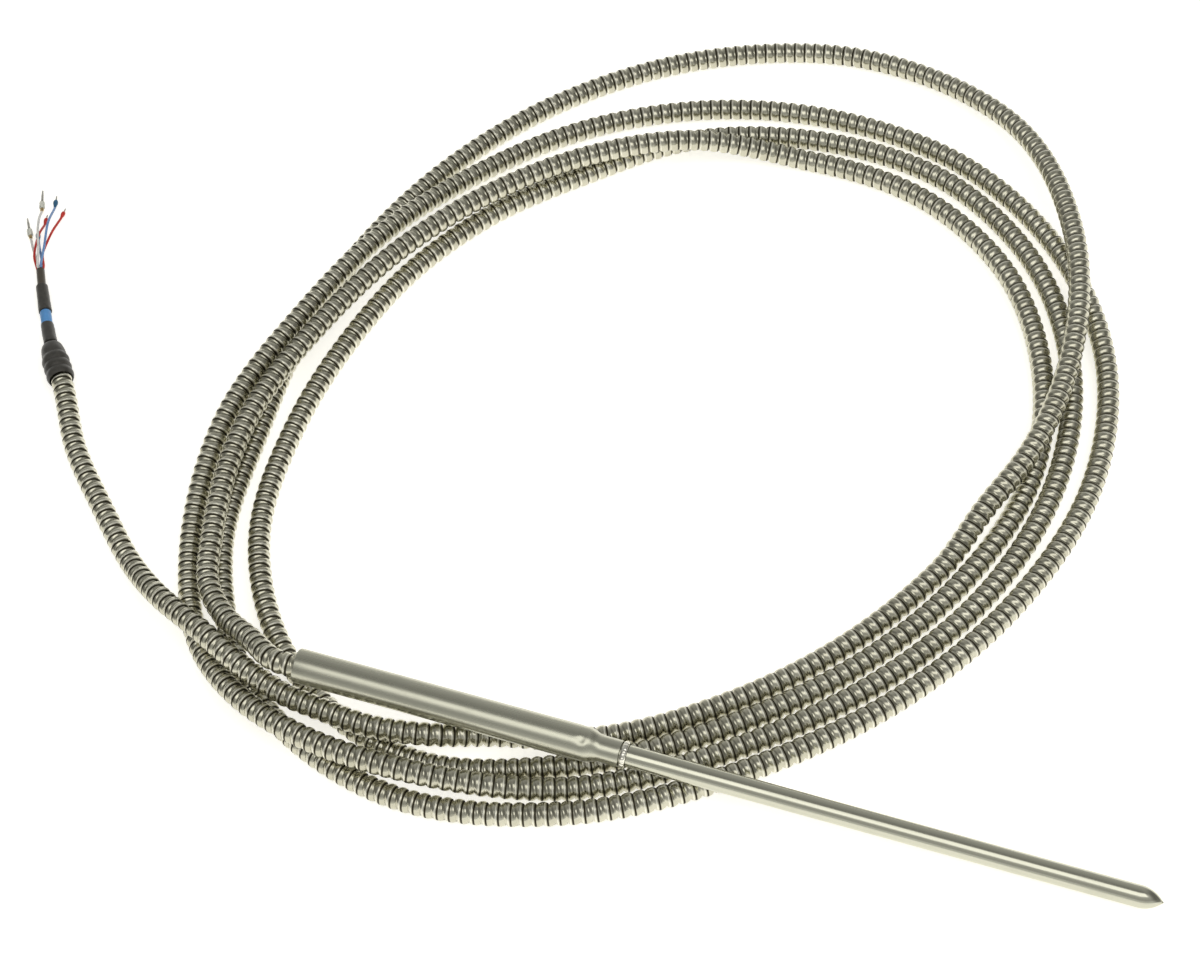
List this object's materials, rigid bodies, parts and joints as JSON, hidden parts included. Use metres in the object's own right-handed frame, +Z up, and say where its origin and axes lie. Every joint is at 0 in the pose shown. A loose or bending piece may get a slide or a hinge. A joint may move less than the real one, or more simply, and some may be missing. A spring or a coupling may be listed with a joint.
{
  "type": "rtd temperature probe",
  "caption": "Pointed steel sheath in a stepped transition sleeve, on a long coiled flexible armoured hose that ends in a rubber boot, shrink sleeves and coloured bare-pin leads.",
  "frame": {"origin": "floor level under the middle of the probe's length, which the cord nodes are not part of", "axes": "+X from the sleeve's rear towards the sheath's point, +Y towards the coil, +Z up"},
  "size_m": [0.4213, 0.3288, 0.0236],
  "materials": {
    "steel": "satin brushed stainless steel, slightly warm",
    "weld_steel": "bright rippled weld metal",
    "ceramic": "matte white alumina ceramic",
    "platinum": "bare drawn lead wire",
    "epoxy": "dull brown potting resin",
    "splice_copper": "tinned copper crimp barrel",
    "armour_steel": "rolled stainless strip, satin with bright edges",
    "black_rubber": "semi-matte black heat-shrink rubber",
    "blue_shrink": "semi-matte blue heat-shrink",
    "clear_jacket": "dark brown cable jacket",
    "red_insulation": "smooth red wire insulation",
    "white_insulation": "smooth white wire insulation",
    "blue_insulation": "smooth blue wire insulation",
    "brass": "plain brass crimp pin",
    "tinned_copper": "tinned copper pin"
  },
  "bodies": {
    "root": {"armour_hose": "armour_steel", "blue_band": "blue_shrink", "cable_jacket": "clear_jacket", "collar_blue_1": "blue_insulation", "collar_blue_2": "blue_insulation", "collar_red_1": "red_insulation", "collar_red_2": "red_insulation", "collar_white_1": "white_insulation", "collar_white_2": "white_insulation", "element_lead_blue_1": "platinum", "element_lead_blue_2": "platinum", "element_lead_red_1": "platinum", "element_lead_red_2": "platinum", "element_lead_white_1": "platinum", "element_lead_white_2": "platinum", "hose_end_boot": "black_rubber", "inner_wire_blue_1": "blue_insulation", "inner_wire_blue_2": "blue_insulation", "inner_wire_red_1": "red_insulation", "inner_wire_red_2": "red_insulation", "inner_wire_white_1": "white_insulation", "inner_wire_white_2": "white_insulation", "insulator_1": "ceramic", "insulator_2": "ceramic", "insulator_3": "ceramic", "insulator_4": "ceramic", "insulator_5": "ceramic", "insulator_6": "ceramic", "lead_blue_1": "blue_insulation", "lead_blue_2": "blue_insulation", "lead_red_1": "red_insulation", "lead_red_2": "red_insulation", "lead_white_1": "white_insulation", "lead_white_2": "white_insulation", "lower_shrink_sleeve": "black_rubber", "pin_blue_1": "tinned_copper", "pin_blue_2": "tinned_copper", "pin_red_1": "tinned_copper", "pin_red_2": "tinned_copper", "pin_white_1": "brass", "pin_white_2": "brass", "rtd_element": "ceramic", "sheath": "steel", "sheath_seal": "epoxy", "sleeve_potting": "epoxy", "splice_blue_1": "splice_copper", "splice_blue_2": "splice_copper", "splice_red_1": "splice_copper", "splice_red_2": "splice_copper", "splice_white_1": "splice_copper", "splice_white_2": "splice_copper", "transition_sleeve": "steel", "upper_shrink_sleeve": "black_rubber", "weld_bead": "weld_steel"}
  },
  "joints": []
}
